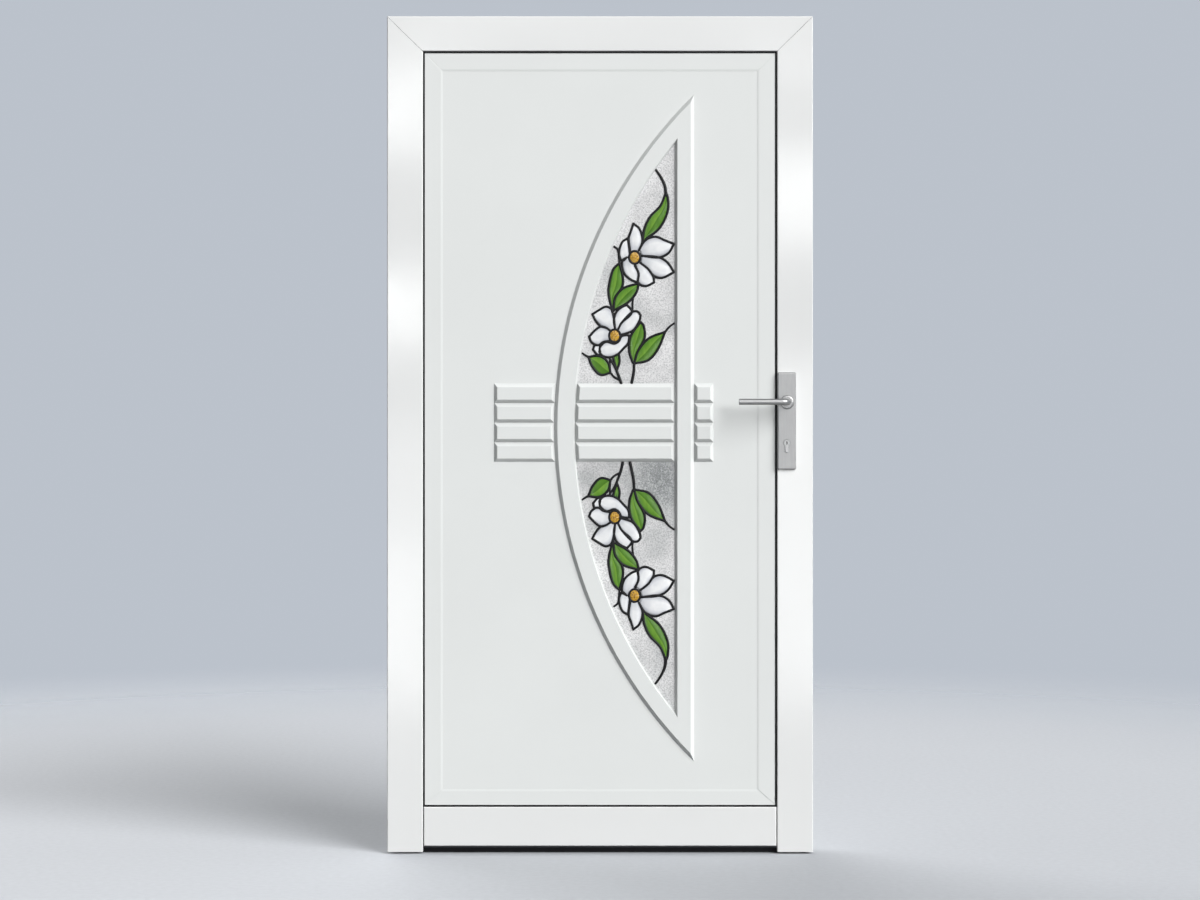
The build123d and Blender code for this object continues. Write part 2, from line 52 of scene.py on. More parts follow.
# The leaded drawing of the upper window: X from the middle of the door, Z from the floor.
# A blade is one piece of glass: points up its left side, points up its right side, and its tip.
# Petals are drawn from the heart of their flower. The lower window has the same drawing, turned over
# about this level.
TURN_LEVEL = 1074.0
HIGH_HEART = (87, 1499)
HIGH_PETALS = [
    ([(-10, 11), (-15, 47), (-9, 66)], [(11, 18), (20, 43), (12, 72)], (-3, 85)),
    ([(12, 20), (27, 43), (52, 52), (76, 43)], [(18, 4), (61, 0), (85, 11)], (99, 34)),
    ([(18, 4), (61, 0), (83, -13)], [(15, -14), (34, -29), (49, -47), (70, -51)], (99, -37)),
    ([(3, -22), (10, -42), (9, -63), (27, -72)], [(15, -14), (34, -29), (47, -49)], (49, -63)),
    ([(-20, 0), (-31, -9), (-27, -38), (-9, -56)], [(1, -21), (10, -40)], (8, -63)),
    ([(-20, 0), (-31, -8), (-39, 11), (-31, 38)], [(-12, 9), (-14, 29)], (-17, 48)),
]
LOW_HEART = (37, 1302)
LOW_PETALS = [
    ([(-10, 12), (-21, 20), (-35, 24), (-47, 37)],
     [(1, 17), (-2, 44), (-9, 67), (-22, 73), (-40, 64)], (-56, 54)),
    ([(1, 17), (-2, 38), (3, 58), (15, 70)], [(9, 17), (17, 32), (43, 59)], (31, 78)),
    ([(9, 17), (17, 32), (43, 59), (57, 61)], [(13, 2), (29, 6), (48, 15), (63, 40)], (65, 52)),
    ([(-10, 12), (-21, 20), (-35, 23), (-50, 13)],
     [(-12, -13), (-29, -16), (-42, -24), (-58, -16)], (-64, -2)),
    ([(36, 1), (18, -1), (10, -14), (-2, -20), (-21, -15), (-36, -27)],
     [(36, 1), (34, -18), (21, -33), (8, -46), (-11, -54), (-29, -51)], (-39, -40)),
    ([(-42, -24), (-51, -25)], [(-38, -31), (-39, -48)], (-54, -35)),
]
LEAVES = [
    ([(108, 1541), (111, 1569), (125, 1600), (152, 1629)],
     [(115, 1545), (150, 1573), (170, 1614), (171, 1647)], (166, 1663)),
    ([(31, 1368), (23, 1400), (22, 1423), (33, 1468)],
     [(33, 1367), (38, 1398), (55, 1423), (58, 1445)], (49, 1485)),
    ([(34, 1364), (38, 1397), (58, 1421)], [(39, 1368), (72, 1387), (91, 1410)], (98, 1434)),
    ([(83, 1234), (74, 1263), (77, 1300)], [(86, 1233), (95, 1263), (112, 1296), (110, 1327)], (102, 1337)),
    ([(86, 1233), (95, 1263), (122, 1295)], [(89, 1233), (122, 1241), (146, 1269)], (164, 1312)),
    ([(26, 1210), (20, 1235), (-1, 1251)], [(26, 1209), (2, 1204), (-18, 1223)], (-29, 1249)),
    ([(33, 1247), (37, 1233)], [(48, 1254), (49, 1236)], (43, 1217)),
]
# Stems and tails: points, and the half width of the lead at the first and at the last point
STEMS = [
    ([(166, 1656), (163, 1679), (153, 1701), (140, 1720)], 4.2, 3.0),
    ([(36, 1526), (45, 1518), (49, 1487)], 2.8, 2.8),
    ([(164, 1312), (174, 1324), (186, 1333)], 3.2, 2.4),
    ([(-29, 1249), (-37, 1253), (-44, 1258)], 3.2, 2.4),
    ([(86, 1233), (85, 1211), (79, 1180), (72, 1150)], 3.4, 3.8),
    ([(84, 1401), (82, 1384), (82, 1364)], 2.6, 2.6),
    ([(26, 1210), (35, 1199), (49, 1191)], 2.8, 3.0),
    ([(27, 1241), (38, 1223), (46, 1204), (54, 1180), (60, 1150)], 2.8, 3.8),
    ([(25, 1247), (25, 1229), (27, 1208)], 2.4, 2.4),
]
HEART_HALF_WIDTH = 14
HEART_HALF_HEIGHT = 16
LEAD_HALF_WIDTH = 3.2
LEAD_RISE = 0.85
GLASS_EDGE_RISE = 0.5
GLASS_DOME = 1.1
GLASS_SINK = 0.3
SIDE_STEPS = 20
ACROSS_STEPS = 8
CURVE_STEPS = 9
HEART_SEGMENTS = 40
HEART_RINGS = 6
BEAD_ARC_STEPS = 6
BEAD_END_STEPS = 4
# The width left at the end of a lead's round nose, and how far along its dome a blade of glass begins
BEAD_NOSE_SHARE = 0.02
DOME_START = 0.15
# Points closer than the first are one point, and edges shorter than the second are none, in metres
MERGE_DISTANCE = 1e-6
SLIVER_DISTANCE = 1e-7

# Painted shade on slopes in grooves: the tone at the bottom of a right-angled groove, how open such a bottom
# is, and how far a groove reaches. A face is a slope or flat by how squarely it looks out of the door.
GROOVE_TONE = 0.58
GROOVE_OPENNESS = 0.5
GROOVE_REACH = 0.016
SLOPE_FACING = 0.80
FLAT_FACING = 0.95
GROOVE_SHADE_SAMPLES = 8

# The painted shade on the glass below the ribs, from their foot: how far down it begins and is full, its
# tone, and how far up it ends
RIB_SHADE_REACH = 0.20
RIB_SHADE_FULL = 0.03
RIB_SHADE_TONE = 0.84
RIB_SHADE_END = 0.05

# The darker cloud in the glass below the ribs: its middle, its reach, and the share of it that is full
CLOUD_MIDDLE = (0.143, -0.0375, 0.935)
CLOUD_REACH = (0.095, 1.0, 0.125)
CLOUD_CORE = 0.2

# The wards in the keyway, black as painted shade of the deep keyway, in millimetres from the axis of the
# plug, and where they begin and end in it
WARDS = [(-1.4, 4.4), (0.5, 4.4), (0.5, 1.6), (1.4, 1.2), (1.4, -1.8),
         (0.4, -2.2), (0.4, -4.4), (-0.8, -4.4), (-0.8, -0.6), (-1.4, -0.2)]
WARDS_START = 0.8
WARDS_END = 6.1

# Camera: straight on, at the height of the middle of the photograph
IMAGE_WIDTH_AT_DOOR = 3.0144
CAMERA_DISTANCE = 6.0
CAMERA_HEIGHT = 1.0148
SENSOR_WIDTH = 36.0

# Light: a key from the upper right in front, a soft light on the back, and lamps that show only as sheen
KEY_DIRECTION = Vector((0.62, -0.635, 0.46))
KEY_STRENGTH = 4.45
KEY_ANGLE = 44.0
KEY_DISTANCE = 5.0
BACK_DIRECTION = Vector((-0.45, 0.80, 0.40))
BACK_LEVEL = 4.0
# The cosines at which the light on the back begins and is full
BACK_EDGE = 0.76
BACK_CORE = 0.97
FILL_LEVEL = 0.05
# Strips beside the camera: the lowest and highest level where each shows on a stile, and its radiance
STRIPS = {
    "left": [(1.77, 1.98, 7.9), (1.295, 1.45, 9.6), (0.79, 1.09, 2.4), (-0.30, 0.79, 5.4)],
    "right": [(1.93, 2.06, 3.8), (1.54, 1.76, 8.4), (-0.30, 1.23, 4.9)],
}
STRIP_WIDTH = 0.5
STRIP_AT_DOOR = 0.49
# A long strip that shows on the top rail: its levels there, its width and its radiance
RAIL_STRIP_LEVELS = (2.00, 2.13)
RAIL_STRIP_WIDTH = 2.1
RAIL_STRIP_RADIANCE = 2.1
# A wide lamp over the camera, seen in the round metal
OVERHEAD_TURN = math.radians(38.0)
OVERHEAD_DISTANCE = 4.0
OVERHEAD_WIDTH = 2.6
OVERHEAD_DEPTH = 1.6
OVERHEAD_RADIANCE = 3.2
BACKDROP = (0.50, 0.54, 0.60, 1.0)
FLOOR_COLOUR = (0.56, 0.58, 0.61)
FLOOR_BOUNCE = (0.10, 0.103, 0.11)
FLOOR_HALF = 14.0
FLOOR_FADE_START = 2.2
FLOOR_FADE_END = 5.5


# Small helpers for node trees

def new_material(name):
    """An empty procedural material, its node tree and its shader."""
    material = bpy.data.materials.new(name)
    material.use_nodes = True
    return material, material.node_tree, material.node_tree.nodes["Principled BSDF"]


def set_inputs(node, values):
    """Sets inputs of a node to plain values."""
    for name, value in values.items():
        node.inputs[name].default_value = value


def add_node(tree, kind, inputs=None, **settings):
    """A node with its settings and the values of its inputs."""
    node = tree.nodes.new(kind)
    for name, value in settings.items():
        setattr(node, name, value)
    set_inputs(node, inputs or {})
    return node


def object_noise(tree, scale, detail=3.0, roughness=0.5, stretch=(1, 1, 1), distortion=0.0):
    """Noise in the object's own metres, drawn out along an axis by a small stretch value."""
    place = add_node(tree, "ShaderNodeTexCoord")
    mapping = add_node(tree, "ShaderNodeMapping", {"Scale": stretch})
    noise = add_node(
        tree, "ShaderNodeTexNoise",
        {"Scale": scale, "Detail": detail, "Roughness": roughness, "Distortion": distortion})
    tree.links.new(place.outputs["Object"], mapping.inputs["Vector"])
    tree.links.new(mapping.outputs["Vector"], noise.inputs["Vector"])
    return noise.outputs["Fac"]


def ramp(tree, factor, stops):
    """A colour ramp with the given positions and colours."""
    node = add_node(tree, "ShaderNodeValToRGB")
    elements = node.color_ramp.elements
    while len(elements) < len(stops):
        elements.new(1.0)
    for element, (position, colour) in zip(elements, stops):
        element.position = position
        element.color = (*colour, 1.0)
    tree.links.new(factor, node.inputs["Fac"])
    return node.outputs["Color"]


def map_range(tree, value, low, high, to_low, to_high):
    """A value carried smoothly from one range to another."""
    node = add_node(
        tree, "ShaderNodeMapRange",
        {"From Min": low, "From Max": high, "To Min": to_low, "To Max": to_high},
        interpolation_type="SMOOTHSTEP")
    tree.links.new(value, node.inputs["Value"])
    return node.outputs["Result"]


def multiply(tree, colour, other):
    """Two colours, or a colour and a level, multiplied."""
    node = add_node(tree, "ShaderNodeMix", {"Factor": 1.0}, data_type="RGBA", blend_type="MULTIPLY")
    tree.links.new(colour, node.inputs["A"])
    tree.links.new(other, node.inputs["B"])
    return node.outputs["Result"]


def blend(tree, factor, start, colour):
    """A mix that goes from a plain start colour to another colour."""
    node = add_node(tree, "ShaderNodeMix", {"A": (*start, 1.0)}, data_type="RGBA")
    tree.links.new(factor, node.inputs["Factor"])
    tree.links.new(colour, node.inputs["B"])
    return node.outputs["Result"]


def bump(tree, shader, height, strength, distance):
    """Fine relief on the shader's normal."""
    node = add_node(tree, "ShaderNodeBump", {"Strength": strength, "Distance": distance})
    tree.links.new(height, node.inputs["Height"])
    tree.links.new(node.outputs["Normal"], shader.inputs["Normal"])


def shade(colour, level):
    """A colour made lighter or darker."""
    return tuple(channel * level for channel in colour)


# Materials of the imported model's slots

def painted_groove_shade(tree, colour, alone):
    """The colour with painted shade on slopes close to any face, or if alone to the piece's own."""
    place = add_node(tree, "ShaderNodeTexCoord")
    split = add_node(tree, "ShaderNodeSeparateXYZ")
    facing = add_node(tree, "ShaderNodeMath", operation="ABSOLUTE")
    tree.links.new(place.outputs["Normal"], split.inputs["Vector"])
    tree.links.new(split.outputs["Y"], facing.inputs[0])
    slope = map_range(tree, facing.outputs["Value"], SLOPE_FACING, FLAT_FACING, 1.0, 0.0)
    openness = add_node(
        tree, "ShaderNodeAmbientOcclusion", {"Distance": GROOVE_REACH},
        samples=GROOVE_SHADE_SAMPLES, only_local=alone)
    groove_shade = ramp(tree, openness.outputs["AO"], [(GROOVE_OPENNESS, shade(WHITE, GROOVE_TONE)), (1.0, WHITE)])
    return multiply(tree, colour, blend(tree, slope, WHITE, groove_shade))


def white_paint(name, colour, roughness, specular, alone):
    """White coating with faint clouding, painted shade on the slopes of grooves, and a very fine orange peel.
    """
    material, tree, shader = new_material(name)
    cloud = object_noise(tree, scale=3.5, detail=4.0)
    clouded = ramp(tree, cloud, [(0.3, shade(colour, 0.985)), (0.7, shade(colour, 1.012))])
    # Painted shade: the paint is darker on slopes where ambient occlusion finds a groove
    tree.links.new(painted_groove_shade(tree, clouded, alone), shader.inputs["Base Color"])
    gloss = map_range(tree, object_noise(tree, scale=12.0), 0.3, 0.7, roughness * 0.92, roughness * 1.08)
    tree.links.new(gloss, shader.inputs["Roughness"])
    set_inputs(shader, {"Specular IOR Level": specular})
    bump(tree, shader, object_noise(tree, scale=650.0, detail=2.0), strength=0.06, distance=0.0002)
    return material


def rubber(name):
    """Black sealing rubber with a dusty grain."""
    material, tree, shader = new_material(name)
    grain = object_noise(tree, scale=420.0)
    grained = ramp(tree, grain, [(0.3, (0.004, 0.004, 0.0045)), (0.75, (0.012, 0.012, 0.0125))])
    tree.links.new(grained, shader.inputs["Base Color"])
    set_inputs(shader, {"Roughness": 0.7, "Specular IOR Level": 0.2})
    bump(tree, shader, grain, strength=0.25, distance=0.0004)
    return material


def brushed_metal(name, colour, roughness, stretch):
    """Satin metal with fine brush lines along the axis of the smallest stretch."""
    material, tree, shader = new_material(name)
    lines = object_noise(tree, scale=900.0, roughness=0.6, stretch=stretch)
    cloud = object_noise(tree, scale=25.0)
    brushed = ramp(tree, lines, [(0.25, shade(colour, 0.90)), (0.75, shade(colour, 1.07))])
    clouded = ramp(tree, cloud, [(0.3, shade(WHITE, 0.96)), (0.7, WHITE)])
    tree.links.new(multiply(tree, brushed, clouded), shader.inputs["Base Color"])
    gloss = map_range(tree, lines, 0.2, 0.8, roughness * 0.85, roughness * 1.15)
    tree.links.new(gloss, shader.inputs["Roughness"])
    set_inputs(shader, {"Metallic": 1.0})
    bump(tree, shader, lines, strength=0.12, distance=0.0002)
    return material


def foam(name):
    """Cellular insulating core."""
    material, tree, shader = new_material(name)
    place = add_node(tree, "ShaderNodeTexCoord")
    cells = add_node(tree, "ShaderNodeTexVoronoi", {"Scale": 500.0})
    tree.links.new(place.outputs["Object"], cells.inputs["Vector"])
    walls = ramp(tree, cells.outputs["Distance"], [(0.0, (0.66, 0.66, 0.63)), (0.8, (0.54, 0.54, 0.51))])
    tree.links.new(walls, shader.inputs["Base Color"])
    set_inputs(shader, {"Roughness": 0.9})
    bump(tree, shader, cells.outputs["Distance"], strength=0.4, distance=0.0006)
    return material


def painted_rib_shade(tree, place):
    """The tone of the glass by its level: painted shade, darker just below the ribs."""
    split = add_node(tree, "ShaderNodeSeparateXYZ")
    tree.links.new(place.outputs["Object"], split.inputs["Vector"])
    level = split.outputs["Z"]
    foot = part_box("outer_middle_ribs")[0].z
    below = map_range(tree, level, foot - RIB_SHADE_REACH, foot - RIB_SHADE_FULL, 1.0, RIB_SHADE_TONE)
    above = map_range(tree, level, foot, foot + RIB_SHADE_END, 0.0, 1.0)
    lighter = add_node(tree, "ShaderNodeMath", operation="MAXIMUM")
    tree.links.new(below, lighter.inputs[0])
    tree.links.new(above, lighter.inputs[1])
    return lighter.outputs["Value"]


def wavy_cloud(tree, place):
    """White glass with a darker, wavy cloud round one place."""
    away = add_node(tree, "ShaderNodeVectorMath", {1: CLOUD_MIDDLE}, operation="SUBTRACT")
    reach = add_node(tree, "ShaderNodeVectorMath", {1: CLOUD_REACH}, operation="DIVIDE")
    length = add_node(tree, "ShaderNodeVectorMath", operation="LENGTH")
    tree.links.new(place.outputs["Object"], away.inputs[0])
    tree.links.new(away.outputs["Vector"], reach.inputs[0])
    tree.links.new(reach.outputs["Vector"], length.inputs[0])
    waves = ramp(tree, object_noise(tree, scale=85.0, detail=1.0, distortion=1.6),
                 [(0.42, (0.50, 0.52, 0.52)), (0.495, (0.95, 0.97, 0.97)), (0.57, (0.54, 0.56, 0.56))])
    density = map_range(tree, length.outputs["Value"], CLOUD_CORE, 1.0, 1.0, 0.0)
    return blend(tree, density, WHITE, waves)


def ornament_glass(name):
    """Pale cast glass: soft clouds, a fine hammered grain, painted shade just below the ribs, and a darker,
    wavy cloud below the ribs.
    """
    material, tree, shader = new_material(name)
    clouds = object_noise(tree, scale=9.0, detail=5.0, roughness=0.55)
    grain = object_noise(tree, scale=270.0, detail=2.0, roughness=0.7)
    clouded = ramp(tree, clouds, [
        (0.36, (0.67, 0.68, 0.68)), (0.50, (0.83, 0.83, 0.83)), (0.64, (0.96, 0.96, 0.96))])
    grained = ramp(tree, grain, [(0.40, (0.66, 0.66, 0.67)), (0.50, (0.92, 0.92, 0.92)), (0.58, WHITE)])
    place = add_node(tree, "ShaderNodeTexCoord")
    tone = multiply(tree, multiply(tree, clouded, grained), painted_rib_shade(tree, place))
    tree.links.new(multiply(tree, tone, wavy_cloud(tree, place)), shader.inputs["Base Color"])
    set_inputs(shader, {"Roughness": 0.22, "Transmission Weight": 0.12, "IOR": 1.5})
    bump(tree, shader, grain, strength=0.35, distance=0.0012)
    return material


# Materials of the leaded glass

def blade_place(tree):
    """Across and along a blade of glass, each from 0 to 1."""
    place = add_node(tree, "ShaderNodeUVMap", uv_map="blade")
    split = add_node(tree, "ShaderNodeSeparateXYZ")
    tree.links.new(place.outputs["UV"], split.inputs["Vector"])
    return split.outputs["X"], split.outputs["Y"]


def from_edge(tree, across):
    """The distance from the nearer side of a blade: 0 at the sides, 1 on the midline."""
    node = add_node(tree, "ShaderNodeMath", {1: 0.5}, operation="PINGPONG")
    tree.links.new(across, node.inputs[0])
    return map_range(tree, node.outputs["Value"], 0.0, 0.5, 0.0, 1.0)


def petal_glass(name):
    """White opal glass with painted shade beside the leads and at the heart of the flower, as on a domed
    piece.
    """
    material, tree, shader = new_material(name)
    across, along = blade_place(tree)
    # Painted shade: darker beside the leads and towards the heart of the flower, as on a domed piece of glass
    body = ramp(tree, from_edge(tree, across),
                [(0.0, (0.40, 0.41, 0.44)), (0.25, (0.68, 0.69, 0.72)), (0.65, (0.87, 0.88, 0.885))])
    painted_root_shade = ramp(tree, along, [(0.0, (0.66, 0.67, 0.70)), (0.35, WHITE)])
    wisps = ramp(tree, object_noise(tree, scale=45.0, detail=4.0), [(0.3, (0.88, 0.89, 0.91)), (0.6, WHITE)])
    tree.links.new(multiply(tree, multiply(tree, body, painted_root_shade), wisps), shader.inputs["Base Color"])
    set_inputs(shader, {"Roughness": 0.16})
    bump(tree, shader, object_noise(tree, scale=120.0, detail=2.0), strength=0.10, distance=0.0006)
    return material


def leaf_glass(name):
    """Green streaky glass with a paler midrib."""
    material, tree, shader = new_material(name)
    across, along = blade_place(tree)
    body = ramp(tree, across, [
        (0.0, (0.04, 0.13, 0.010)), (0.18, (0.12, 0.29, 0.022)), (0.47, (0.20, 0.39, 0.045)),
        (0.52, (0.08, 0.21, 0.016)), (0.80, (0.11, 0.27, 0.018)), (1.0, (0.04, 0.12, 0.010))])
    ends = ramp(tree, along, [(0.0, (0.62, 0.70, 0.65)), (0.35, WHITE), (0.85, (0.92, 0.96, 0.9))])
    streaks = ramp(tree, object_noise(tree, scale=70.0, detail=4.0, roughness=0.6, stretch=(1.0, 1.0, 0.35)),
                   [(0.35, (0.72, 0.78, 0.68)), (0.65, WHITE)])
    tree.links.new(multiply(tree, multiply(tree, body, ends), streaks), shader.inputs["Base Color"])
    set_inputs(shader, {"Roughness": 0.15, "Specular IOR Level": 0.3})
    bump(tree, shader, object_noise(tree, scale=160.0, detail=2.0), strength=0.10, distance=0.0006)
    return material


def amber_glass(name):
    """Amber glass with a seedy, mottled heart."""
    material, tree, shader = new_material(name)
    seeds = object_noise(tree, scale=210.0, detail=4.0, roughness=0.6)
    mottled = ramp(tree, seeds, [
        (0.36, (0.16, 0.07, 0.005)), (0.48, (0.48, 0.25, 0.012)), (0.64, (0.64, 0.39, 0.03))])
    tree.links.new(mottled, shader.inputs["Base Color"])
    set_inputs(shader, {"Roughness": 0.18})
    bump(tree, shader, seeds, strength=0.4, distance=0.0008)
    return material


def lead_came(name):
    """Blackened lead with faint tool marks."""
    material, tree, shader = new_material(name)
    marks = object_noise(tree, scale=260.0)
    marked = ramp(tree, marks, [(0.35, (0.002, 0.002, 0.0025)), (0.7, (0.008, 0.008, 0.009))])
    tree.links.new(marked, shader.inputs["Base Color"])
    set_inputs(shader, {"Roughness": 0.5, "Specular IOR Level": 0.2})
    bump(tree, shader, marks, strength=0.3, distance=0.0005)
    return material


# Geometry of the leaded glass

def tangent(points, index):
    """The direction of a smooth curve at one of its points."""
    before = points[max(index - 1, 0)]
    after = points[min(index + 1, len(points) - 1)]
    return (after - before).normalized()


def smooth(points):
    """A fine line along a smooth curve through the given points."""
    points = [Vector(point) for point in points]
    line = [points[0]]
    for index, (start, end) in enumerate(zip(points, points[1:])):
        reach = (end - start).length / 3
        leave = start + tangent(points, index) * reach
        arrive = end - tangent(points, index + 1) * reach
        line += interpolate_bezier(start, leave, arrive, end, CURVE_STEPS)[1:]
    return line


def even_line(line, steps):
    """The same line cut into equal steps."""
    lengths = [0.0]
    for start, end in zip(line, line[1:]):
        lengths.append(lengths[-1] + (end - start).length)
    even = []
    index = 0
    for step in range(steps + 1):
        target = lengths[-1] * step / steps
        while index < len(line) - 2 and lengths[index + 1] < target:
            index += 1
        span = lengths[index + 1] - lengths[index]
        share = (target - lengths[index]) / span if span else 0.0
        even.append(line[index].lerp(line[index + 1], min(share, 1.0)))
    return even


def shifted(blade, heart):
    """A petal moved from the heart of its flower to its place on the door."""
    left, right, tip = blade

    def moved(point):
        return point[0] + heart[0], point[1] + heart[1]

    return [moved(point) for point in left], [moved(point) for point in right], moved(tip)


def blade_sides(blade):
    """The two sides of a blade, from its base to its tip."""
    left, right, tip = blade
    return smooth([*left, tip]), smooth([*right, tip])


def pane_placer(face, half):
    """A function that sets a drawing point on one pane, at a height in millimetres above its glass."""
    low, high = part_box(f"{face}_{half}_pane")
    surface, outward = (low.y, -1) if face == "outer" else (high.y, 1)

    def place(point, height):
        level = point[1] if half == "upper" else 2 * TURN_LEVEL - point[1]
        return Vector((point[0] * MM, surface + outward * height * MM, level * MM))

    return place


def grid_faces(rows, columns, start):
    """Quads of a grid of points that is stored row by row."""
    quads = []
    for row in range(rows):
        for column in range(columns):
            first = start + row * (columns + 1) + column
            quads.append((first, first + 1, first + columns + 2, first + columns + 1))
    return quads


def grid_rim(rows, columns):
    """The points round the edge of such a grid, in order."""
    width = columns + 1
    rim = list(range(columns))
    rim += [row * width + columns for row in range(rows)]
    rim += [rows * width + column for column in range(columns, 0, -1)]
    rim += [row * width for row in range(rows, 0, -1)]
    return rim


def add_solid(shell, top, bottom, rows, columns, marks):
    """Adds a closed solid between two grids of points to a shell of points, faces and marks."""
    start = len(shell["points"])
    count = len(top)
    shell["points"] += top + bottom
    shell["marks"] += marks + marks
    shell["faces"] += grid_faces(rows, columns, start) + grid_faces(rows, columns, start + count)
    rim = grid_rim(rows, columns)
    for first, second in zip(rim, rim[1:] + rim[:1]):
        shell["faces"].append((start + first, start + second, start + count + second, start + count + first))


def add_blade(shell, place, blade):
    """One domed piece of glass between the two sides of a blade."""
    left, right = (even_line(side, SIDE_STEPS) for side in blade_sides(blade))
    top, bottom, marks = [], [], []
    for row, (start, end) in enumerate(zip(left, right)):
        along = row / SIDE_STEPS
        for column in range(ACROSS_STEPS + 1):
            across = column / ACROSS_STEPS
            swell = math.sin(math.pi * across) * math.sqrt(math.sin(math.pi * min(along + DOME_START, 1.0)))
            point = start.lerp(end, across)
            top.append(place(point, GLASS_EDGE_RISE + GLASS_DOME * max(swell, 0.0)))
            bottom.append(place(point, -GLASS_SINK))
            marks.append((across, along))
    add_solid(shell, top, bottom, SIDE_STEPS, ACROSS_STEPS, marks)


def heart_point(heart, turn, share):
    """A point of a flower's oval heart, at a share of its radius."""
    x = heart[0] + math.cos(turn) * HEART_HALF_WIDTH * share
    z = heart[1] + math.sin(turn) * HEART_HALF_HEIGHT * share
    return x, z


def add_heart(shell, place, heart):
    """The domed oval glass in the middle of a flower."""
    top, bottom, marks = [], [], []
    for ring in range(HEART_RINGS + 1):
        share = ring / HEART_RINGS
        rise = GLASS_EDGE_RISE + 2 * GLASS_DOME * math.cos(share * math.pi / 2)
        for segment in range(HEART_SEGMENTS + 1):
            point = heart_point(heart, 2 * math.pi * segment / HEART_SEGMENTS, share)
            top.append(place(point, rise))
            bottom.append(place(point, -GLASS_SINK))
            marks.append((segment / HEART_SEGMENTS, share))
    add_solid(shell, top, bottom, HEART_RINGS, HEART_SEGMENTS, marks)


def rounded_ends(line, widths):
    """The line and its half widths, carried on past both ends so that the bead closes in a round nose."""
    head, tail = [], []
    for step in range(1, BEAD_END_STEPS + 1):
        turn = math.pi / 2 * step / BEAD_END_STEPS
        for ends, first, second in ((head, 0, 1), (tail, -1, -2)):
            away = (line[first] - line[second]).normalized()
            point = line[first] + away * widths[first] * math.sin(turn)
            ends.append((point, widths[first] * max(math.cos(turn), BEAD_NOSE_SHARE)))
    whole = head[::-1] + list(zip(line, widths)) + tail
    return [point for point, _ in whole], [width for _, width in whole]


def add_bead(shell, place, line, widths):
    """A half-round lead along a line."""
    top_rows, bottom_rows, marks = [], [], []
    for index, (point, width) in enumerate(zip(line, widths)):
        along = tangent(line, index)
        side = Vector((-along.y, along.x))
        for step in range(BEAD_ARC_STEPS + 1):
            turn = math.pi * step / BEAD_ARC_STEPS
            spot = point + side * width * math.cos(turn)
            top_rows.append(place(spot, width * LEAD_RISE * math.sin(turn)))
            bottom_rows.append(place(spot, -GLASS_SINK))
            marks.append((step / BEAD_ARC_STEPS, index / len(line)))
    add_solid(shell, top_rows, bottom_rows, len(line) - 1, BEAD_ARC_STEPS, marks)


def add_lead(shell, place, line, first=LEAD_HALF_WIDTH, last=LEAD_HALF_WIDTH):
    """A lead with round ends, whose half width goes from first to last."""
    steps = len(line) - 1
    widths = [first + (last - first) * step / steps for step in range(steps + 1)]
    add_bead(shell, place, *rounded_ends(line, widths))


def new_shell():
    """An empty set of points, faces and marks."""
    return {"points": [], "faces": [], "marks": []}


def make_piece(name, shell, material, slot, body="leaf", is_round=True):
    """A mesh object from a shell, round or flat in its shading, riding on one of the bodies."""
    mesh = bpy.data.meshes.new(name)
    mesh.from_pydata(shell["points"], [], shell["faces"])
    layer = mesh.uv_layers.new(name="blade")
    for loop in mesh.loops:
        layer.data[loop.index].uv = shell["marks"][loop.vertex_index]
    work = bmesh.new()
    work.from_mesh(mesh)
    bmesh.ops.remove_doubles(work, verts=work.verts, dist=MERGE_DISTANCE)
    bmesh.ops.dissolve_degenerate(work, edges=work.edges, dist=SLIVER_DISTANCE)
    bmesh.ops.recalc_face_normals(work, faces=work.faces)
    work.to_mesh(mesh)
    work.free()
    mesh.materials.append(material)
    mesh.polygons.foreach_set("use_smooth", [is_round] * len(mesh.polygons))
    piece = bpy.data.objects.new(name, mesh)
    bpy.context.scene.collection.objects.link(piece)
    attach(piece, body)


def above_ribs(line, face, half):
    """The stretch of a stem that shows between the flowers and the ribs."""
    rib_low, rib_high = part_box(f"{face}_middle_ribs")
    foot = rib_high.z / MM if half == "upper" else 2 * TURN_LEVEL - rib_low.z / MM
    return [point for point in line if point.y >= foot]


def leaded_window(face, half, finishes):
    """The flowers, leaves and leads on one pane."""
    place = pane_placer(face, half)
    petals = [shifted(blade, HIGH_HEART) for blade in HIGH_PETALS]
    petals += [shifted(blade, LOW_HEART) for blade in LOW_PETALS]
    shells = {kind: new_shell() for kind in ("petals", "leaves", "hearts", "leads")}
    for blade in petals:
        add_blade(shells["petals"], place, blade)
    for blade in LEAVES:
        add_blade(shells["leaves"], place, blade)
    for blade in petals + LEAVES:
        for side in blade_sides(blade):
            add_lead(shells["leads"], place, side)
    for points, first, last in STEMS:
        add_lead(shells["leads"], place, above_ribs(smooth(points), face, half), first, last)
    for heart in (HIGH_HEART, LOW_HEART):
        add_heart(shells["hearts"], place, heart)
        turns = [2 * math.pi * step / HEART_SEGMENTS for step in range(HEART_SEGMENTS + 1)]
        ring = [Vector(heart_point(heart, turn, 1.0)) for turn in turns]
        add_lead(shells["leads"], place, ring)
    for kind, shell in shells.items():
        material, slot = finishes[kind]
        make_piece(f"{face}_{half}_{kind}", shell, material, slot)


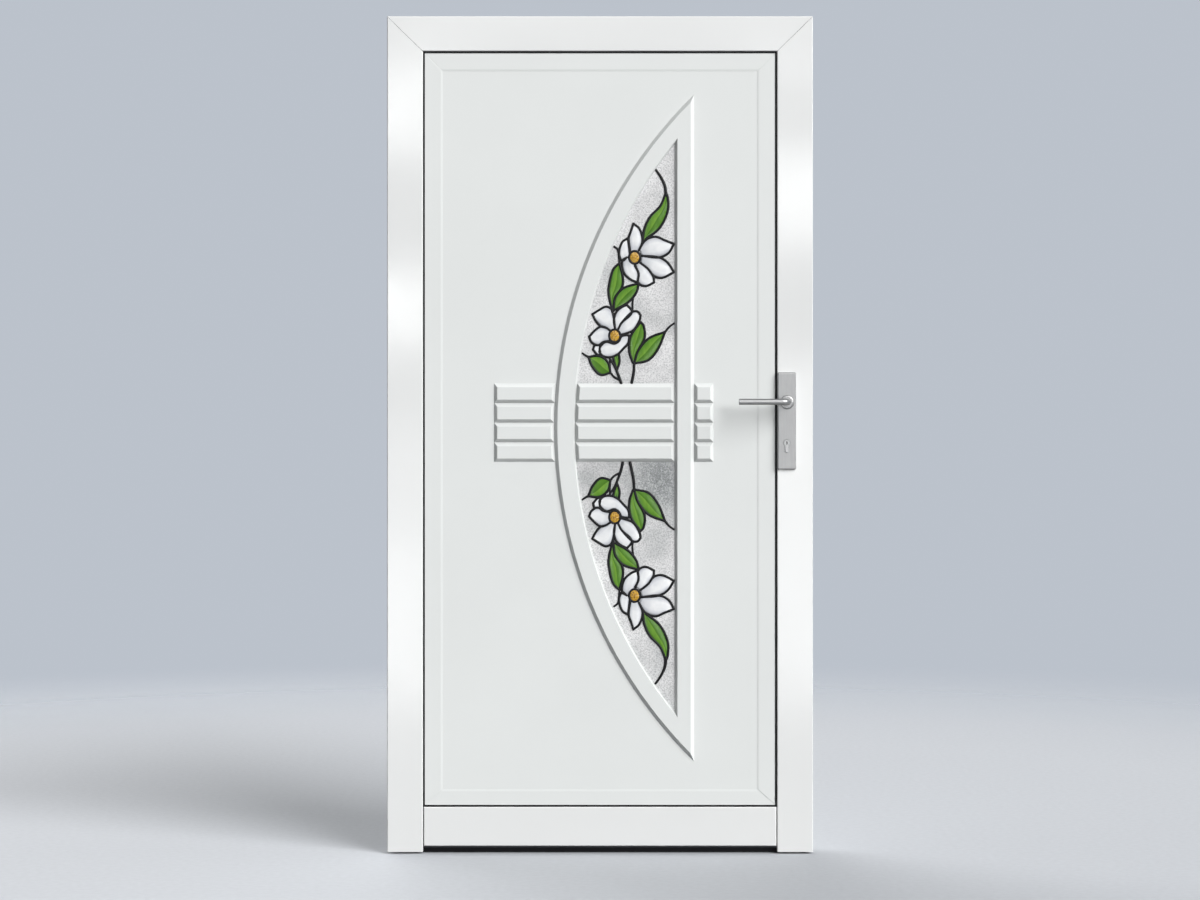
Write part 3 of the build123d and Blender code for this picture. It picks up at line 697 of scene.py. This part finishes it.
def keyway_wards_and_shade(face, material):
    """The wards that fill the keyway on one side of the plug, black as painted shade of the deep keyway."""
    low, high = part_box("key_plug")
    end, inward = (low.y, 1) if face == "outer" else (high.y, -1)
    middle = (low + high) / 2
    shell = new_shell()
    for depth in (WARDS_START, WARDS_END):
        for x, z in WARDS:
            shell["points"].append(Vector((middle.x + x * MM, end + inward * depth * MM, middle.z + z * MM)))
            shell["marks"].append((0.0, 0.0))
    count = len(WARDS)
    ring = list(range(count))
    shell["faces"] += [tuple(ring), tuple(count + index for index in ring)]
    for first, second in zip(ring, ring[1:] + ring[:1]):
        shell["faces"].append((first, second, count + second, count + first))
    make_piece(f"{face}_keyway_wards_and_shade", shell, material, "lead_came", "key_plug", is_round=False)


# Studio

def light_path_share(tree):
    """1 for rays that see the backdrop: from the camera, from gloss and through glass."""
    path = add_node(tree, "ShaderNodeLightPath")
    share = path.outputs["Is Camera Ray"]
    for name in ("Is Glossy Ray", "Is Transmission Ray"):
        most = add_node(tree, "ShaderNodeMath", operation="MAXIMUM")
        tree.links.new(share, most.inputs[0])
        tree.links.new(path.outputs[name], most.inputs[1])
        share = most.outputs["Value"]
    return share


def make_world():
    """A pale backdrop, a low even fill, and a wide soft light that reaches only the back of the door."""
    world = bpy.data.worlds.new("studio")
    bpy.context.scene.world = world
    world.use_nodes = True
    tree = world.node_tree
    tree.nodes.clear()
    place = add_node(tree, "ShaderNodeTexCoord")
    facing = add_node(tree, "ShaderNodeVectorMath", {1: BACK_DIRECTION.normalized()}, operation="DOT_PRODUCT")
    tree.links.new(place.outputs["Generated"], facing.inputs[0])
    level = map_range(tree, facing.outputs["Value"], BACK_EDGE, BACK_CORE, FILL_LEVEL, BACK_LEVEL)
    fill = add_node(tree, "ShaderNodeBackground", {"Color": (*WHITE, 1.0)})
    tree.links.new(level, fill.inputs["Strength"])
    backdrop = add_node(tree, "ShaderNodeBackground", {"Color": BACKDROP, "Strength": 1.0})
    mix = add_node(tree, "ShaderNodeMixShader")
    tree.links.new(light_path_share(tree), mix.inputs["Fac"])
    tree.links.new(fill.outputs["Background"], mix.inputs[1])
    tree.links.new(backdrop.outputs["Background"], mix.inputs[2])
    out = add_node(tree, "ShaderNodeOutputWorld")
    tree.links.new(mix.outputs["Shader"], out.inputs["Surface"])


def make_floor():
    """A pale floor that fades into the backdrop away from the door."""
    mesh = bpy.data.meshes.new("floor")
    corners = [(-1, -1), (1, -1), (1, 1), (-1, 1)]
    mesh.from_pydata([(x * FLOOR_HALF, y * FLOOR_HALF, 0.0) for x, y in corners], [], [(0, 1, 2, 3)])
    floor = bpy.data.objects.new("floor", mesh)
    bpy.context.scene.collection.objects.link(floor)
    material, tree, shader = new_material("pale_floor")
    speckle = object_noise(tree, scale=60.0, detail=4.0)
    pale = ramp(tree, speckle, [(0.3, shade(FLOOR_COLOUR, 0.97)), (0.7, shade(FLOOR_COLOUR, 1.03))])
    seen = blend(tree, light_path_share(tree), FLOOR_BOUNCE, pale)
    tree.links.new(seen, shader.inputs["Base Color"])
    set_inputs(shader, {"Roughness": 0.6, "Specular IOR Level": 0.1})
    place = add_node(tree, "ShaderNodeTexCoord")
    length = add_node(tree, "ShaderNodeVectorMath", operation="LENGTH")
    tree.links.new(place.outputs["Object"], length.inputs[0])
    fade = map_range(tree, length.outputs["Value"], FLOOR_FADE_START, FLOOR_FADE_END, 0.0, 1.0)
    open_floor = add_node(tree, "ShaderNodeBsdfTransparent")
    mix = add_node(tree, "ShaderNodeMixShader")
    out = tree.nodes["Material Output"]
    tree.links.new(fade, mix.inputs["Fac"])
    tree.links.new(shader.outputs["BSDF"], mix.inputs[1])
    tree.links.new(open_floor.outputs["BSDF"], mix.inputs[2])
    tree.links.new(mix.outputs["Shader"], out.inputs["Surface"])
    mesh.materials.append(material)


def add_light(name, kind, location, direction, **settings):
    """A lamp that shines against the given direction."""
    data = bpy.data.lights.new(name, kind)
    for key, value in settings.items():
        setattr(data, key, value)
    lamp = bpy.data.objects.new(name, data)
    lamp.location = location
    lamp.rotation_mode = "QUATERNION"
    lamp.rotation_quaternion = direction.to_track_quat("Z", "Y")
    bpy.context.scene.collection.objects.link(lamp)
    return lamp


def add_sheen(name, location, direction, width, height, radiance):
    """A rectangular lamp that shows only in glossy surfaces."""
    lamp = add_light(
        name, "AREA", location, direction,
        shape="RECTANGLE", size=width, size_y=height, energy=radiance * width * height * math.pi)
    lamp.visible_camera = False
    lamp.visible_diffuse = False
    lamp.visible_transmission = False


def mirrored(levels):
    """The levels of a lamp beside the camera that shows at the given levels on the door."""
    return [2 * level - CAMERA_HEIGHT for level in levels]


def make_lights(door_front):
    """The key lamp, strips that show as sheen on the glossy stiles, and a wide lamp over the camera."""
    add_light(
        "key", "SUN", KEY_DIRECTION * KEY_DISTANCE, KEY_DIRECTION,
        energy=KEY_STRENGTH, angle=math.radians(KEY_ANGLE))
    towards_door = Vector((0, -1, 0))
    y_strip = door_front - CAMERA_DISTANCE
    for side, sign in (("left", -1), ("right", 1)):
        for index, (*span, radiance) in enumerate(STRIPS[side]):
            low, high = mirrored(span)
            place = (sign * 2 * STRIP_AT_DOOR, y_strip, (low + high) / 2)
            add_sheen(f"strip_{side}_{index}", place, towards_door, STRIP_WIDTH, high - low, radiance)
    low, high = mirrored(RAIL_STRIP_LEVELS)
    place = (0, y_strip, (low + high) / 2)
    add_sheen("strip_rail", place, towards_door, RAIL_STRIP_WIDTH, high - low, RAIL_STRIP_RADIANCE)
    upwards = Vector((0, -math.cos(OVERHEAD_TURN), math.sin(OVERHEAD_TURN)))
    place = Vector((0, door_front, CAMERA_HEIGHT)) + upwards * OVERHEAD_DISTANCE
    add_sheen("overhead", place, upwards, OVERHEAD_WIDTH, OVERHEAD_DEPTH, OVERHEAD_RADIANCE)


def make_camera(door_front):
    """The camera of the photograph: level, straight on, and as wide as the photograph at the door's face."""
    data = bpy.data.cameras.new("camera")
    data.sensor_width = SENSOR_WIDTH
    data.lens = SENSOR_WIDTH * CAMERA_DISTANCE / IMAGE_WIDTH_AT_DOOR
    camera = bpy.data.objects.new("camera", data)
    camera.location = (0.0, door_front - CAMERA_DISTANCE, CAMERA_HEIGHT)
    camera.rotation_euler = (math.pi / 2, 0.0, 0.0)
    bpy.context.scene.collection.objects.link(camera)
    bpy.context.scene.camera = camera


def finish_nodes():
    """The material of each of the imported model's slots, on every node that has the slot."""
    slots = {
        "white_profile": white_paint("white_profile", (0.79, 0.80, 0.795), 0.115, specular=0.5, alone=True),
        "white_panel": white_paint("white_panel", (0.755, 0.775, 0.765), 0.42, specular=0.4, alone=False),
        "frame_profile": white_paint("frame_profile", (0.78, 0.79, 0.785), 0.30, specular=0.45, alone=True),
        "insulation": foam("insulation"),
        "black_seal": rubber("black_seal"),
        "dark_threshold": brushed_metal("dark_threshold", (0.016, 0.016, 0.017), 0.5, (0.03, 1, 1)),
        "ornament_glass": ornament_glass("ornament_glass"),
        "satin_steel": brushed_metal("satin_steel", (0.325, 0.321, 0.314), 0.34, (1, 1, 0.03)),
        "lock_nickel": brushed_metal("lock_nickel", (0.37, 0.367, 0.36), 0.30, (1, 0.03, 1)),
        "hinge_steel": brushed_metal("hinge_steel", (0.50, 0.50, 0.51), 0.36, (1, 1, 0.03)),
    }
    for part in frame["record"]["subparts"]:
        for holder in frame["nodes"][part["node"]].material_slots:
            holder.material = slots[part["material_slot"]]


def main():
    """Dresses the door, then sets up the studio."""
    finish_nodes()
    finishes = {
        "petals": (petal_glass("petal_glass"), "petal_glass"),
        "leaves": (leaf_glass("leaf_glass"), "leaf_glass"),
        "hearts": (amber_glass("amber_glass"), "amber_glass"),
        "leads": (lead_came("lead_came"), "lead_came"),
    }
    for face in ("outer", "inner"):
        for half in ("upper", "lower"):
            leaded_window(face, half, finishes)
        keyway_wards_and_shade(face, finishes["leads"][0])
    door_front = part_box("leaf_hinge_stile")[0].y
    make_world()
    make_floor()
    make_lights(door_front)
    make_camera(door_front)
    bpy.context.scene.view_settings.view_transform = "Standard"


main()
